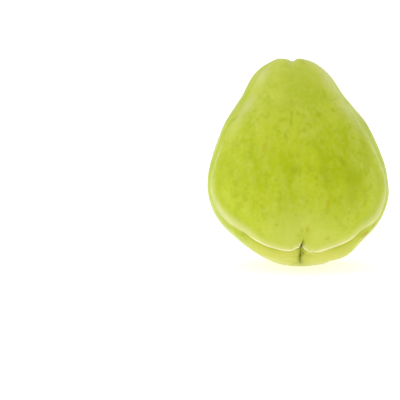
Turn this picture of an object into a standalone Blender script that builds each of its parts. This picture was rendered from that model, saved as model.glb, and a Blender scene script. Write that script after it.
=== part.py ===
"""A whole chayote standing on the broad, puckered end that flowered.

The fruit is one solid. It is a pear-like body, flatter from front to back than from side to side,
with a short neck at the stem. A deep mouth crosses the blossom end and runs up both sides as a
seam, so that the fruit has a front lobe and a fuller rear lobe. It leans back a little on a
small flat spot under the rear lobe.

Axes: +X to the right of the fruit's front face, -Y out of the front face, +Z up. The origin is at
the middle of the footprint of the fruit's bounding box, on the surface that it stands on.
"""

import math

import bmesh
import bpy
import numpy as np
from mathutils import Matrix, Vector

MM = 0.001

# Overall sizes, before the furrows are pressed in and the rest spot is flattened.
LENGTH = 114 * MM  # crown of the neck to the end of the rear lobe
BREADTH = 97 * MM  # along the mouth, at the widest
FRONT_DEPTH = 33 * MM  # from the growth axis to the front face
REAR_DEPTH = 41 * MM  # from the growth axis to the back
CORE_HEIGHT = 43 * MM  # height of the fruit's core, at its widest level, above its lower end
NECK_OFFSET = 6 * MM  # the crown has grown this far to the left of the lower end
SQUARENESS = 0.45  # how much squarer the widest level section is than an ellipse

# Half outlines from the crown down to the end of the lobes, as (outward share, height share) of
# the half size and of LENGTH. All three start and end on the growth axis.
SIDE_OUTLINE = (
    (0.00, 0.990),
    (0.18, 0.980),
    (0.375, 0.925),
    (0.57, 0.805),
    (0.77, 0.690),
    (0.90, 0.570),
    (0.98, 0.445),
    (0.99, 0.345),
    (0.89, 0.235),
    (0.63, 0.125),
    (0.33, 0.045),
    (0.00, 0.015),
)
FRONT_OUTLINE = (
    (0.00, 0.990),
    (0.35, 0.975),
    (0.60, 0.900),
    (0.80, 0.740),
    (0.95, 0.550),
    (1.00, 0.375),
    (0.88, 0.190),
    (0.50, 0.060),
    (0.00, 0.015),
)
REAR_OUTLINE = (
    (0.00, 0.990),
    (0.29, 0.970),
    (0.52, 0.885),
    (0.71, 0.745),
    (0.89, 0.570),
    (1.00, 0.375),
    (0.92, 0.190),
    (0.58, 0.040),
    (0.00, 0.015),
)

# The seam between the lobes, in degrees. It lies this far round from the fruit's side towards its
# front face, and moves round between two angles down from the crown.
SEAM_AT_NECK = 35
SEAM_AT_BELLY = 14
SEAM_SETTLES = (17, 97)
# The middle of the mouth sits this far in front of the growth axis, an offset that starts at the
# second angle down from the crown.
MOUTH_FORWARD = 24
MOUTH_FORWARD_FROM = 63

# Mouth and furrows.
MOUTH_DEPTH = 8.0 * MM
MOUTH_REACH = 48 * MM  # along the seam, from the middle of the mouth to where it has closed up
LIP_WIDTH = 2.0 * MM  # the front lobe rolls into the mouth within this
CHEEK_WIDTH = 6.0 * MM  # the rear lobe slopes into the mouth over this
MIDDLE_FOLD_DEPTH = 6.0 * MM  # short fold across the middle of the mouth
MIDDLE_FOLD_REACH = 14 * MM
MIDDLE_FOLD_WIDTH = 2.0 * MM
SIDE_FURROW_DEPTH = 0.9 * MM
SIDE_FURROW_WIDTH = 3.0 * MM
SIDE_FURROW_STARTS = (6 * MM, 22 * MM)  # it deepens between these distances from the stem

# Stem end.
STEM_PIT_DEPTH = 3.0 * MM
STEM_PIT_RADIUS = 11 * MM
STEM_SCAR_HEIGHT = 0.8 * MM  # the button of cork that the stalk broke away from
STEM_SCAR_RADIUS = 4.5 * MM
CROWN_DIMPLE_DEPTH = 2.8 * MM  # the crown dips between two low shoulders, in front and behind
CROWN_DIMPLE_WIDTH = 4.5 * MM
CROWN_DIMPLE_ENDS = (10 * MM, 20 * MM)  # it fades out between these distances from the stem

# How it stands.
LEAN_BACK = 13  # degrees
REST_SPOT_DEPTH = 1.8 * MM  # flattened off the rear lobe where it rests
WELD = 0.02 * MM

# Mesh: rings from crown to mouth and columns round the fruit. Crowding, from 0 to 1, draws the
# rings together at both ends and the columns at the seams and the middle folds.
RINGS = 46
COLUMNS = 88
RING_CROWDING = 0.55
COLUMN_CROWDING = 0.60

SKIN_COLOUR = (0.445, 0.540, 0.040, 1.0)
SKIN_ROUGHNESS = 0.45
SHARP_EDGE = 50  # degrees


def smooth_step(value, start, end):
    """0 on the start's side, 1 on the end's side, and an even S between them."""
    t = np.clip((value - start) / (end - start), 0, 1)
    return t * t * (3 - 2 * t)


def outline(points, half_size):
    """Radius of a half outline as a function of the angle down from the crown, by cubic spans."""
    outward = np.array([share * half_size for share, _ in points])
    upward = np.array([share * LENGTH - CORE_HEIGHT for _, share in points])
    angles = np.arctan2(outward, upward)
    radii = np.hypot(outward, upward)
    # A mirrored neighbour past each end makes the outline cross the axis at a right angle.
    spread = np.concatenate([[-angles[1]], angles, [2 * math.pi - angles[-2]]])
    heights = np.concatenate([[radii[1]], radii, [radii[-2]]])
    slopes = (heights[2:] - heights[:-2]) / (spread[2:] - spread[:-2])

    def radius(angle):
        span = np.clip(np.searchsorted(angles, angle) - 1, 0, len(angles) - 2)
        width = angles[span + 1] - angles[span]
        t = (angle - angles[span]) / width
        return (
            radii[span] * (1 + 2 * t) * (1 - t) ** 2
            + radii[span + 1] * t**2 * (3 - 2 * t)
            + slopes[span] * width * t * (1 - t) ** 2
            - slopes[span + 1] * width * t**2 * (1 - t)
        )

    return radius


def grid():
    """Angles of the surface grid: down from the crown, and round from the right-hand seam."""
    even = np.linspace(0, math.pi, RINGS + 2)
    down = even - RING_CROWDING / 2 * np.sin(2 * even)
    around = np.linspace(0, 2 * math.pi, COLUMNS, endpoint=False)
    turn = around - COLUMN_CROWDING / 4 * np.sin(4 * around)
    return np.meshgrid(down, turn, indexing="ij")


def directions(down, turn):
    """Unit vectors of the grid out of the core. The seam's two halves are at turns 0 and pi."""
    settled = smooth_step(down, *np.radians(SEAM_SETTLES))
    seam = np.radians(SEAM_AT_NECK + (SEAM_AT_BELLY - SEAM_AT_NECK) * settled)
    around = turn - seam * np.cos(turn)
    tip = math.radians(MOUTH_FORWARD)
    tip = tip * smooth_step(down, math.radians(MOUTH_FORWARD_FROM), math.pi)
    x = np.sin(down) * np.cos(around)
    y = np.sin(down) * np.sin(around)
    z = np.cos(down)
    tipped_y = y * np.cos(tip) + z * np.sin(tip)
    tipped_z = z * np.cos(tip) - y * np.sin(tip)
    return np.stack([x, tipped_y, tipped_z], axis=-1)


def body_radius(way):
    """Distance from the core to the plain body along each unit vector."""
    down = np.arccos(np.clip(way[..., 2], -1, 1))
    around = np.arctan2(way[..., 1], way[..., 0])
    side = outline(SIDE_OUTLINE, BREADTH / 2)(down)
    front = outline(FRONT_OUTLINE, FRONT_DEPTH)(down)
    rear = outline(REAR_OUTLINE, REAR_DEPTH)(down)
    depth = np.where(way[..., 1] < 0, front, rear)
    power = 2 + SQUARENESS * np.sin(down) ** 2
    across = (np.abs(np.cos(around)) / side) ** power
    along = (np.abs(np.sin(around)) / depth) ** power
    return (across + along) ** (-1 / power)


def mouth_and_furrow(from_mouth, from_stem, from_seam):
    """The seam's depth: an open mouth below, closing up into a shallow furrow on each side."""
    opening = 1 - smooth_step(from_mouth, 0.5 * MIDDLE_FOLD_WIDTH, MOUTH_REACH)
    lobe = np.where(from_seam < 0, LIP_WIDTH, CHEEK_WIDTH)
    width = SIDE_FURROW_WIDTH + (lobe - SIDE_FURROW_WIDTH) * opening
    mouth = MOUTH_DEPTH * opening * np.exp(-np.abs(from_seam) / width)
    furrow = SIDE_FURROW_DEPTH * (1 - opening) * smooth_step(from_stem, *SIDE_FURROW_STARTS)
    return mouth, furrow * np.exp(-((from_seam / SIDE_FURROW_WIDTH) ** 2))


def stem_end(from_stem, from_middle):
    """The stem end's depth: a round pit with the stem scar in it, and a dip in the crown's rim."""
    pit = STEM_PIT_DEPTH * (1 - smooth_step(from_stem, 0.3 * STEM_PIT_RADIUS, STEM_PIT_RADIUS))
    dimple = CROWN_DIMPLE_DEPTH * (1 - smooth_step(from_stem, *CROWN_DIMPLE_ENDS))
    dimple = dimple * np.exp(-((from_middle / CROWN_DIMPLE_WIDTH) ** 2))
    scar = 1 - smooth_step(from_stem, 0.6 * STEM_SCAR_RADIUS, STEM_SCAR_RADIUS)
    return np.maximum(pit, dimple) - STEM_SCAR_HEIGHT * scar


def pressed_depth(down, turn, radius):
    """How far everything that dents the plain body presses its surface in."""
    from_stem = radius * down
    from_mouth = radius * (math.pi - down)
    ring = radius * np.sin(down)
    # Negative on the front lobe, positive on the rear lobe.
    right = (turn + math.pi / 2) % (2 * math.pi) - math.pi / 2
    from_seam = np.where(right < math.pi / 2, right, math.pi - right) * ring
    from_middle = np.abs(turn % math.pi - math.pi / 2) * ring

    mouth, furrow = mouth_and_furrow(from_mouth, from_stem, from_seam)
    fold = MIDDLE_FOLD_DEPTH * (1 - smooth_step(from_mouth, 0, MIDDLE_FOLD_REACH))
    fold = fold * np.exp(-from_middle / MIDDLE_FOLD_WIDTH)
    return np.maximum(mouth, fold) + furrow + stem_end(from_stem, from_middle)


def surface_points():
    """Points of the fruit's skin, a row for each ring from the crown to the mouth."""
    down, turn = grid()
    way = directions(down, turn)
    radius = body_radius(way)
    radius = radius - pressed_depth(down, turn, radius)
    points = way * radius[..., None]
    points[..., 0] -= points[..., 2] * NECK_OFFSET / LENGTH
    return points


def skin_mesh(points):
    """A closed skin over the rings, drawn to one point at the crown and one in the mouth."""
    mesh = bmesh.new()
    crown = mesh.verts.new(points[0, 0])
    rings = [[mesh.verts.new(point) for point in ring] for ring in points[1:-1]]
    mouth = mesh.verts.new(points[-1, 0])
    for column in range(COLUMNS):
        after = (column + 1) % COLUMNS
        mesh.faces.new((crown, rings[0][column], rings[0][after]))
        for upper, lower in zip(rings[:-1], rings[1:]):
            mesh.faces.new((upper[column], lower[column], lower[after], upper[after]))
        mesh.faces.new((rings[-1][column], mouth, rings[-1][after]))
    return mesh


def middle(mesh, axis):
    """Halfway between the mesh's lowest and highest coordinate along an axis."""
    along = [vert.co[axis] for vert in mesh.verts]
    return (min(along) + max(along)) / 2


def stand(mesh):
    """Leans the fruit back, centres its footprint and flattens its rest spot at height 0."""
    lean = Matrix.Rotation(math.radians(-LEAN_BACK), 4, "X")
    bmesh.ops.transform(mesh, matrix=lean, verts=mesh.verts)
    lowest = min(vert.co.z for vert in mesh.verts)
    shift = Vector((-middle(mesh, 0), -middle(mesh, 1), -lowest - REST_SPOT_DEPTH))
    bmesh.ops.translate(mesh, vec=shift, verts=mesh.verts)
    cut = bmesh.ops.bisect_plane(
        mesh,
        geom=[*mesh.verts, *mesh.edges, *mesh.faces],
        dist=WELD,
        plane_co=(0, 0, 0),
        plane_no=(0, 0, -1),
        clear_outer=True,
    )
    rim = [item for item in cut["geom_cut"] if isinstance(item, bmesh.types.BMEdge)]
    bmesh.ops.holes_fill(mesh, edges=rim, sides=0)
    bmesh.ops.recalc_face_normals(mesh, faces=mesh.faces)


def skin():
    """Pale green, faintly waxy skin."""
    material = bpy.data.materials.new("skin")
    material.use_nodes = True
    shader = material.node_tree.nodes["Principled BSDF"]
    shader.inputs["Base Color"].default_value = SKIN_COLOUR
    shader.inputs["Metallic"].default_value = 0.0
    shader.inputs["Roughness"].default_value = SKIN_ROUGHNESS
    material.diffuse_color = SKIN_COLOUR
    return material


def add_fruit():
    """The whole fruit as one mesh object."""
    mesh = skin_mesh(surface_points())
    stand(mesh)
    data = bpy.data.meshes.new("chayote_fruit")
    mesh.to_mesh(data)
    mesh.free()
    data.shade_smooth()
    data.set_sharp_from_angle(angle=math.radians(SHARP_EDGE))
    data.materials.append(skin())
    fruit = bpy.data.objects.new("chayote_fruit", data)
    bpy.context.scene.collection.objects.link(fruit)
    return fruit


def main():
    for old in list(bpy.data.objects):
        bpy.data.objects.remove(old, do_unlink=True)
    add_fruit()


main()
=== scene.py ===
"""A whole chayote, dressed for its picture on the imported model.

The fruit's skin and the cork scar of its stalk are two meshes. Both are grown from the same few
landmarks: the growth axis from crown to mouth, the seam between the front and the rear lobe, and
the middle of each lobe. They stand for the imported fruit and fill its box.

Axes: +X to the right of the fruit's front face, -Y out of the front face, +Z up. Metres.
"""

import logging
import math
from collections.abc import Sequence
from dataclasses import dataclass, field
from enum import Enum
from typing import Any

import bpy
import numpy as np
from mathutils import Matrix, Vector, noise


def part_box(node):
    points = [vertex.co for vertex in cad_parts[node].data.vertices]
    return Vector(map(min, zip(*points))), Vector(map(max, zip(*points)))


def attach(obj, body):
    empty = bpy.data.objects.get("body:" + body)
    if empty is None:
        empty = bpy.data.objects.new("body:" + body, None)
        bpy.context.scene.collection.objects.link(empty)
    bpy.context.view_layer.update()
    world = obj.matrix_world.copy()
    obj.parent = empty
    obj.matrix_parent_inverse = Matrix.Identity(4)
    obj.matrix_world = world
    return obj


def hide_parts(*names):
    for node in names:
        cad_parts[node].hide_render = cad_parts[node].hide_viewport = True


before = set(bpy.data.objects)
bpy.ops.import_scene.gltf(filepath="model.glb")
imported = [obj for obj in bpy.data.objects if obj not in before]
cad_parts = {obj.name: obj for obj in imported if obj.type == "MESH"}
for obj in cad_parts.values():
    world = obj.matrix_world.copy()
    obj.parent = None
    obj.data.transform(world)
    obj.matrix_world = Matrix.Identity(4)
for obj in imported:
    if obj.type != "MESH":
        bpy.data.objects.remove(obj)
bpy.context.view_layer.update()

LOG = logging.getLogger("chayote")
MM = 0.001
FRUIT = "chayote_fruit"
SMOOTH = {"interpolation_type": "SMOOTHSTEP"}
MULTIPLY = {"operation": "MULTIPLY"}
SCAR_RIM = "rim"  # the scar's measure of how near its rim each point is
DEEP_TISSUE = "#a9b800"  # three colours that several of the skin's layers share; the pale one is painted light on the crown and the blossom end, and partly on the ridges
PALE_PAINTED_LIGHT = "#c4ca58"
FLECK_TISSUE = "#9baa00"

Material = bpy.types.Material
Tree = bpy.types.NodeTree
Socket = bpy.types.NodeSocket


class Mark(Enum):
    """What the skin's points remember about their place, for the finish to colour. Several stand for
    painted light and shade.
    """

    LIP_PALE_AND_HIGHLIGHT = "lip"
    CREASE = "crease"
    VALLEY_SHADE = "valley"
    RIDGE_PALE_AND_HIGHLIGHT = "ridge"
    BLOSSOM_END_LIGHT = "blossom_end"
    CHEEK_LIGHT = "cheek"
    GLOW = "glow"
    UNDERCUT_SHADE = "undercut_shade"
    STRETCH = "edge_highlight"
    CROWN = "crown"
    PIT_SHADE = "pit"
    RUSSET = "russet"
    FLECK = "fleck"
    RUB = "rub"


def linear_colour(code: str) -> tuple[float, float, float, float]:
    """Turns an sRGB hex colour into the linear colour that shaders take.

    Args:
        code: The colour as "#rrggbb".

    Returns:
        Red, green, blue and an opaque alpha, linear.
    """
    channels = [int(code[place : place + 2], 16) / 255 for place in (1, 3, 5)]
    red, green, blue = (
        share / 12.92 if share <= 0.04045 else ((share + 0.055) / 1.055) ** 2.4 for share in channels
    )
    return red, green, blue, 1.0


def smooth_step(value: np.ndarray, start: float, end: float) -> np.ndarray:
    """Eases from 0 to 1.

    Args:
        value: What is measured.
        start: Where the step is still 0.
        end: Where the step has reached 1. It may lie below the start.

    Returns:
        The step at each value.
    """
    share = np.clip((value - start) / (end - start), 0, 1)
    return share * share * (3 - 2 * share)


def bell(value: np.ndarray, width: float) -> np.ndarray:
    """A bell of height 1 round a value of 0, down to 1/e at the width."""
    return np.exp(-((value / width) ** 2))


def rolled_edge(distance: np.ndarray, width: float) -> np.ndarray:
    """The section of an edge that rolls over into a crease.

    Args:
        distance: Distance from the crease.
        width: How far from the crease the roll starts.

    Returns:
        Depth as a share of the whole: 1 in the crease, 0 where the roll starts.
    """
    share = np.clip(1 - distance / width, 0, 1)
    return 1 - np.sqrt(1 - share**2)


def ripple(points: np.ndarray, length: float, seed: int) -> np.ndarray:
    """Smooth random swells through space.

    Args:
        points: Places, with x, y and z along the last axis.
        length: The size of one swell.
        seed: Which of the many fields to take.

    Returns:
        A height from about -1 to 1 at each point.
    """
    # Any uneven step serves, as long as it takes each seed away from the last.
    drift = np.array([7.31, 3.17, 5.93]) * seed
    places = (points / length + drift).reshape(-1, 3)
    heights = np.fromiter((noise.noise(place) for place in places.tolist()), float, len(places))
    return 2 * heights.reshape(points.shape[:-1])


def add_node(
    tree: Tree,
    kind: str,
    settings: dict[str, Any] | None = None,
    inputs: dict[str | int, Any] | None = None,
) -> Any:
    """Adds one shader node.

    Args:
        tree: The node tree that takes it.
        kind: The node's identifier.
        settings: The node's own options, by name.
        inputs: Its inputs, by name or number. An output socket is linked, any other value is set.

    Returns:
        The new node's outputs, to be taken by name or number.
    """
    node = tree.nodes.new(kind)
    for name, value in (settings or {}).items():
        setattr(node, name, value)
    for name, value in (inputs or {}).items():
        if isinstance(value, bpy.types.NodeSocket):
            tree.links.new(value, node.inputs[name])
        else:
            node.inputs[name].default_value = value
    return node.outputs


def blank_material(name: str) -> Material:
    """Makes a material with an empty node tree.

    Args:
        name: The material's name.

    Returns:
        The material.
    """
    material = bpy.data.materials.new(name)
    material.use_nodes = True
    material.node_tree.nodes.clear()
    return material


def lay_over(tree: Tree, ground: str, layers: Sequence[tuple[Socket, str]]) -> Socket:
    """Lays colours over a ground, one after another.

    Args:
        tree: The material's node tree.
        ground: The ground's colour.
        layers: For each colour, how much of it shows at each point, and its code.

    Returns:
        The colour at each point.
    """
    colour: Any = linear_colour(ground)
    for share, over in layers:
        # Inputs 0, 6 and 7 are the share and the two colours, and output 2 is what comes of them.
        inputs = {0: share, 6: colour, 7: linear_colour(over)}
        colour = add_node(tree, "ShaderNodeMix", {"data_type": "RGBA"}, inputs)[2]
    return colour


def tip_and_rings(rings: int, columns: int) -> list[list[int]]:
    """Joins a tip and the rings of points that follow it.

    Args:
        rings: How many rings follow the tip.
        columns: Points in each ring.

    Returns:
        The faces' corners: a fan round the tip and four-cornered faces between the rings.
    """
    column = np.arange(columns)
    after = (column + 1) % columns
    fan = np.stack([np.zeros_like(column), 1 + column, 1 + after], axis=-1)
    upper = 1 + np.arange(rings - 1)[:, None] * columns
    corners = [upper + column, upper + columns + column, upper + columns + after, upper + after]
    return [*fan.tolist(), *np.stack(corners, axis=-1).reshape(-1, 4).tolist()]


def add_piece(
    name: str,
    vertices: np.ndarray,
    faces: list[list[int]],
    marks: dict[str, np.ndarray],
    finish: Material,
) -> bpy.types.Object:
    """Makes one piece of the fruit and dresses it.

    Args:
        name: The piece's name.
        vertices: Its points.
        faces: The corners of its faces.
        marks: Numbers that its finish reads, one for each point.
        finish: Its material.

    Returns:
        The piece.
    """
    data = bpy.data.meshes.new(name)
    data.from_pydata(vertices.tolist(), [], faces)
    for mark, values in marks.items():
        layer = data.attributes.new(mark, "FLOAT", "POINT")
        layer.data.foreach_set("value", values.astype(np.float32))
    data.shade_smooth()
    data.materials.append(finish)
    piece = bpy.data.objects.new(name, data)
    bpy.context.scene.collection.objects.link(piece)
    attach(piece, "root")
    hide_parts(FRUIT)
    return piece


@dataclass(frozen=True)
class Fade:
    """Where something starts to show and where it has come in fully. The end may lie below."""

    start: float
    end: float

    def at(self, value: np.ndarray) -> np.ndarray:
        """How much of it shows, from 0 to 1."""
        return smooth_step(value, self.start, self.end)


@dataclass(frozen=True)
class Strip:
    """A strip or ring of skin that stands out or lies in, or that is tinted."""

    height: float
    place: float  # of its middle line
    width: float

    def share(self, across: np.ndarray) -> np.ndarray:
        """1 along its middle, down to 1/e at its width."""
        return bell(across - self.place, self.width)

    def at(self, across: np.ndarray) -> np.ndarray:
        """Its height at each distance."""
        return self.height * self.share(across)


@dataclass(frozen=True)
class Unrest:
    """Smooth random swells."""

    height: float
    size: float
    seed: int

    def at(self, points: np.ndarray) -> np.ndarray:
        """Their height at each point."""
        return self.height * ripple(points, self.size, self.seed)


@dataclass(frozen=True)
class HalfOutline:
    """Half of the fruit's outline, from the crown down to the end of the lobes.

    The points are pairs of an outward share of the half size and a height share of the length.
    The first and the last lie on the growth axis.
    """

    half_size: float
    points: tuple[tuple[float, float], ...]

    def radius(self, down: np.ndarray, length: float, core_height: float) -> np.ndarray:
        """Measures the outline out of the fruit's core.

        Args:
            down: Angles down from the crown.
            length: The fruit's length.
            core_height: The core's height above the lower end.

        Returns:
            The outline's distance from the core at each angle, along cubic spans.
        """
        outward = np.array([out for out, _ in self.points]) * self.half_size
        upward = np.array([up for _, up in self.points]) * length - core_height
        angles = np.arctan2(outward, upward)
        radii = np.hypot(outward, upward)
        # A mirrored neighbour past each end makes the outline cross the axis at a right angle.
        wider_angles = np.concatenate([[-angles[1]], angles, [2 * math.pi - angles[-2]]])
        wider_radii = np.concatenate([[radii[1]], radii, [radii[-2]]])
        slopes = (wider_radii[2:] - wider_radii[:-2]) / (wider_angles[2:] - wider_angles[:-2])

        span = np.clip(np.searchsorted(angles, down) - 1, 0, len(angles) - 2)
        width = angles[span + 1] - angles[span]
        share = (down - angles[span]) / width
        return (
            radii[span] * (1 + 2 * share) * (1 - share) ** 2
            + radii[span + 1] * share**2 * (3 - 2 * share)
            + slopes[span] * width * share * (1 - share) ** 2
            - slopes[span + 1] * width * share**2 * (1 - share)
        )


@dataclass
class SkinMap:
    """Where each point of the skin lies, measured along the skin from the landmarks."""

    down: np.ndarray  # angle down from the crown
    turn: np.ndarray  # angle round from the right-hand seam, over the rear lobe's middle
    way: np.ndarray  # unit vector out of the core
    radius: np.ndarray  # distance of the plain body from the core

    @property
    def plain(self) -> np.ndarray:
        """Points of the plain body, from the core."""
        return self.way * self.radius[..., None]

    @property
    def from_stem(self) -> np.ndarray:
        """Distance from the middle of the stem scar."""
        return self.radius * self.down

    @property
    def from_mouth(self) -> np.ndarray:
        """Distance from the middle of the mouth."""
        return self.radius * (math.pi - self.down)

    @property
    def rearward(self) -> np.ndarray:
        """Distance from the seam, negative on the front lobe and positive on the rear lobe."""
        return np.sin(self.turn) * self.radius * np.sin(self.down)

    @property
    def rightward(self) -> np.ndarray:
        """Distance from the lobes' middles, positive on the right."""
        return np.cos(self.turn) * self.radius * np.sin(self.down)


@dataclass
class Relief:
    """How far the skin is pressed in at each point, and the marks that go with it."""

    depth: np.ndarray
    marks: dict[Mark, np.ndarray] = field(default_factory=dict)


@dataclass(frozen=True)
class Body:
    """The plain pear-like body, before anything is pressed into it."""

    # From the front: shoulder, waist and broad belly.
    side: HalfOutline = HalfOutline(
        48.5 * MM,
        (
            *((0.00, 0.990), (0.18, 0.980), (0.375, 0.925), (0.57, 0.805), (0.77, 0.690)),
            *((0.90, 0.570), (0.98, 0.445), (0.99, 0.345), (0.89, 0.235), (0.63, 0.125)),
            *((0.33, 0.045), (0.00, 0.015)),
        ),
    )
    # The front lobe from the side, nearly straight above the belly.
    front: HalfOutline = HalfOutline(
        33 * MM,
        (
            *((0.00, 0.990), (0.35, 0.975), (0.60, 0.900), (0.80, 0.740), (0.95, 0.550)),
            *((1.00, 0.375), (0.88, 0.190), (0.50, 0.060), (0.00, 0.015)),
        ),
    )
    # The rear lobe from the side, fuller near its lower end.
    rear: HalfOutline = HalfOutline(
        41 * MM,
        (
            *((0.00, 0.990), (0.29, 0.970), (0.52, 0.885), (0.71, 0.745), (0.89, 0.570)),
            *((1.00, 0.375), (0.92, 0.190), (0.58, 0.040), (0.00, 0.015)),
        ),
    )
    length: float = 114 * MM
    core_height: float = 43 * MM
    squareness: float = 0.45  # of the widest level section, over an ellipse
    neck_offset: float = 6 * MM  # the crown has grown this far to the left of the lower end
    seam_at_neck: float = 35.0  # degrees round from the side towards the front face
    seam_at_belly: float = 14.0
    seam_settles: Fade = Fade(17.0, 97.0)  # degrees down from the crown
    mouth_forward: float = 24.0  # degrees that the mouth sits in front of the growth axis
    mouth_forward_from: float = 63.0
    rings: int = 250
    columns: int = 384
    ring_crowding: float = 0.35
    seam_crowding: float = 0.35
    fold_crowding: float = 0.45

    def grid(self) -> tuple[np.ndarray, np.ndarray]:
        """Lays out the skin's points, closer at both ends and along the seam and the middle folds.

        Returns:
            Angles down from the crown and angles round, a row for each ring.
        """
        even = np.linspace(0, math.pi, self.rings + 2)
        down = even - self.ring_crowding / 2 * np.sin(2 * even)
        around = np.linspace(0, 2 * math.pi, self.columns, endpoint=False)
        turn = around - self.seam_crowding / 2 * np.sin(2 * around)
        turn = turn - self.fold_crowding / 4 * np.sin(4 * around)
        return np.meshgrid(down, turn, indexing="ij")

    def directions(self, down: np.ndarray, turn: np.ndarray) -> np.ndarray:
        """Points the grid out of the core, so that its columns follow the seam.

        Args:
            down: Angles down from the crown.
            turn: Angles round from the right-hand seam.

        Returns:
            Unit vectors.
        """
        settled = self.seam_settles.at(np.degrees(down))
        seam = np.radians(self.seam_at_neck + (self.seam_at_belly - self.seam_at_neck) * settled)
        around = turn - seam * np.cos(turn)
        tip = math.radians(self.mouth_forward)
        tip = tip * smooth_step(down, math.radians(self.mouth_forward_from), math.pi)
        x = np.sin(down) * np.cos(around)
        y = np.sin(down) * np.sin(around)
        z = np.cos(down)
        tipped_y = y * np.cos(tip) + z * np.sin(tip)
        tipped_z = z * np.cos(tip) - y * np.sin(tip)
        return np.stack([x, tipped_y, tipped_z], axis=-1)

    def radius(self, way: np.ndarray) -> np.ndarray:
        """Measures the plain body.

        Args:
            way: Unit vectors out of the core.

        Returns:
            The distance from the core to the plain body along each.
        """
        down = np.arccos(np.clip(way[..., 2], -1, 1))
        around = np.arctan2(way[..., 1], way[..., 0])
        side, front, rear = (
            half.radius(down, self.length, self.core_height)
            for half in (self.side, self.front, self.rear)
        )
        depth = np.where(way[..., 1] < 0, front, rear)
        power = 2 + self.squareness * np.sin(down) ** 2
        across = (np.abs(np.cos(around)) / side) ** power
        along = (np.abs(np.sin(around)) / depth) ** power
        return (across + along) ** (-1 / power)

    def skin_map(self) -> SkinMap:
        """The plain skin with its landmarks."""
        down, turn = self.grid()
        way = self.directions(down, turn)
        return SkinMap(down, turn, way, self.radius(way))


@dataclass(frozen=True)
class MouthTint:
    """Where the skin round the mouth is paler or darker: the lip's own pale skin, and painted highlight,
    painted shade and painted light from below.
    """

    opening: Fade = Fade(0.0, 0.45)  # these two, of the mouth's openness
    crease_opening: Fade = Fade(0.15, 0.60)
    off_middle: Fade = Fade(6 * MM, 18 * MM)  # these two, from the lobes' middles
    near_corner: Fade = Fade(22 * MM, 38 * MM)
    lip_outside: Fade = Fade(4.0 * MM, 2.6 * MM)  # these five, from the crease
    lip_inside: Fade = Fade(0.2 * MM, 1.2 * MM)
    glow: Fade = Fade(8.0 * MM, 1.5 * MM)
    crease: Fade = Fade(0.8 * MM, 0.1 * MM)
    cheek_start: Fade = Fade(0.0 * MM, 3.0 * MM)
    glow_wider_at_corner: float = 3 * MM
    lip_amount: float = 0.95
    lip_lost_off_middle: float = 0.15
    lip_lost_at_corner: float = 0.35
    lip_unrest: Unrest = Unrest(0.20, 8 * MM, 14)
    fold_depth: Fade = Fade(0.4 * MM, 2.4 * MM)
    rear_fold_share: float = 0.45
    beside_fold: float = 4 * MM
    beside_fold_share: float = 0.8
    undercut_shade: float = 4 * MM
    undercut_shade_at_middle: float = 0.35
    beside_fold_end: Fade = Fade(28 * MM, 8 * MM)  # these three, from the mouth's middle
    cheek_end: Fade = Fade(44 * MM, 16 * MM)
    blossom_end: Fade = Fade(46 * MM, 12 * MM)

    def marks(
        self,
        skin: SkinMap,
        openness: np.ndarray,
        from_crease: np.ndarray,
        from_fold: np.ndarray,
        folds: np.ndarray,
    ) -> dict[Mark, np.ndarray]:
        """Marks the skin round the mouth.

        Args:
            skin: The skin's map.
            openness: How open the mouth is.
            from_crease: Distance from where the lips meet, negative on the front lip.
            from_fold: Distance from the fold that crosses the mouth.
            folds: How far the fold presses the skin in.

        Returns:
            The marks of the lip and its glow (pale skin and painted highlight), the painted shade in the
            crease and the undercut, and the painted light from below on the cheek and the blossom end.
        """
        away = np.abs(from_crease)
        front = from_crease < 0
        opened = self.opening.at(openness)
        off_middle = self.off_middle.at(np.abs(skin.rightward))
        near_corner = self.near_corner.at(np.abs(skin.rightward))

        # The lip's cream rim is partly its own paler skin and partly a painted highlight; the glow above
        # it is painted highlight.
        amount = self.lip_amount - self.lip_lost_off_middle * off_middle
        amount = amount - self.lip_lost_at_corner * near_corner
        amount = amount + self.lip_unrest.at(skin.plain)
        lip = self.lip_outside.at(away) * self.lip_inside.at(away)
        glow_start = self.glow.start + self.glow_wider_at_corner * near_corner
        glow = smooth_step(away, glow_start, self.glow.end)

        # Painted shade: dark in the crease where the lips meet and in the middle fold.
        crease = self.crease.at(away) * self.crease_opening.at(openness)
        fold_shade = self.fold_depth.at(folds) * np.where(front, 1.0, self.rear_fold_share)
        # Painted shade on the rear lobe, under the front lip and beside the fold.
        beside_fold = bell(from_fold, self.beside_fold) * self.beside_fold_end.at(skin.from_mouth)
        undercut_shade = self.undercut_shade_at_middle + (1 - self.undercut_shade_at_middle) * off_middle
        undercut_shade = undercut_shade * np.exp(-away / self.undercut_shade) * (1 - front) * opened
        # Painted light from the lit table below: paler on the rear lobe's cheek and towards the blossom
        # end.
        cheek = self.cheek_end.at(skin.from_mouth)
        return {
            Mark.LIP_PALE_AND_HIGHLIGHT: np.clip(lip * opened * front * amount, 0, 1),
            Mark.GLOW: glow * front * opened,
            Mark.CREASE: np.maximum(crease, fold_shade),
            Mark.UNDERCUT_SHADE: np.maximum(undercut_shade, self.beside_fold_share * beside_fold),
            Mark.CHEEK_LIGHT: cheek * self.cheek_start.at(from_crease),
            Mark.BLOSSOM_END_LIGHT: self.blossom_end.at(skin.from_mouth),
        }


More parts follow.
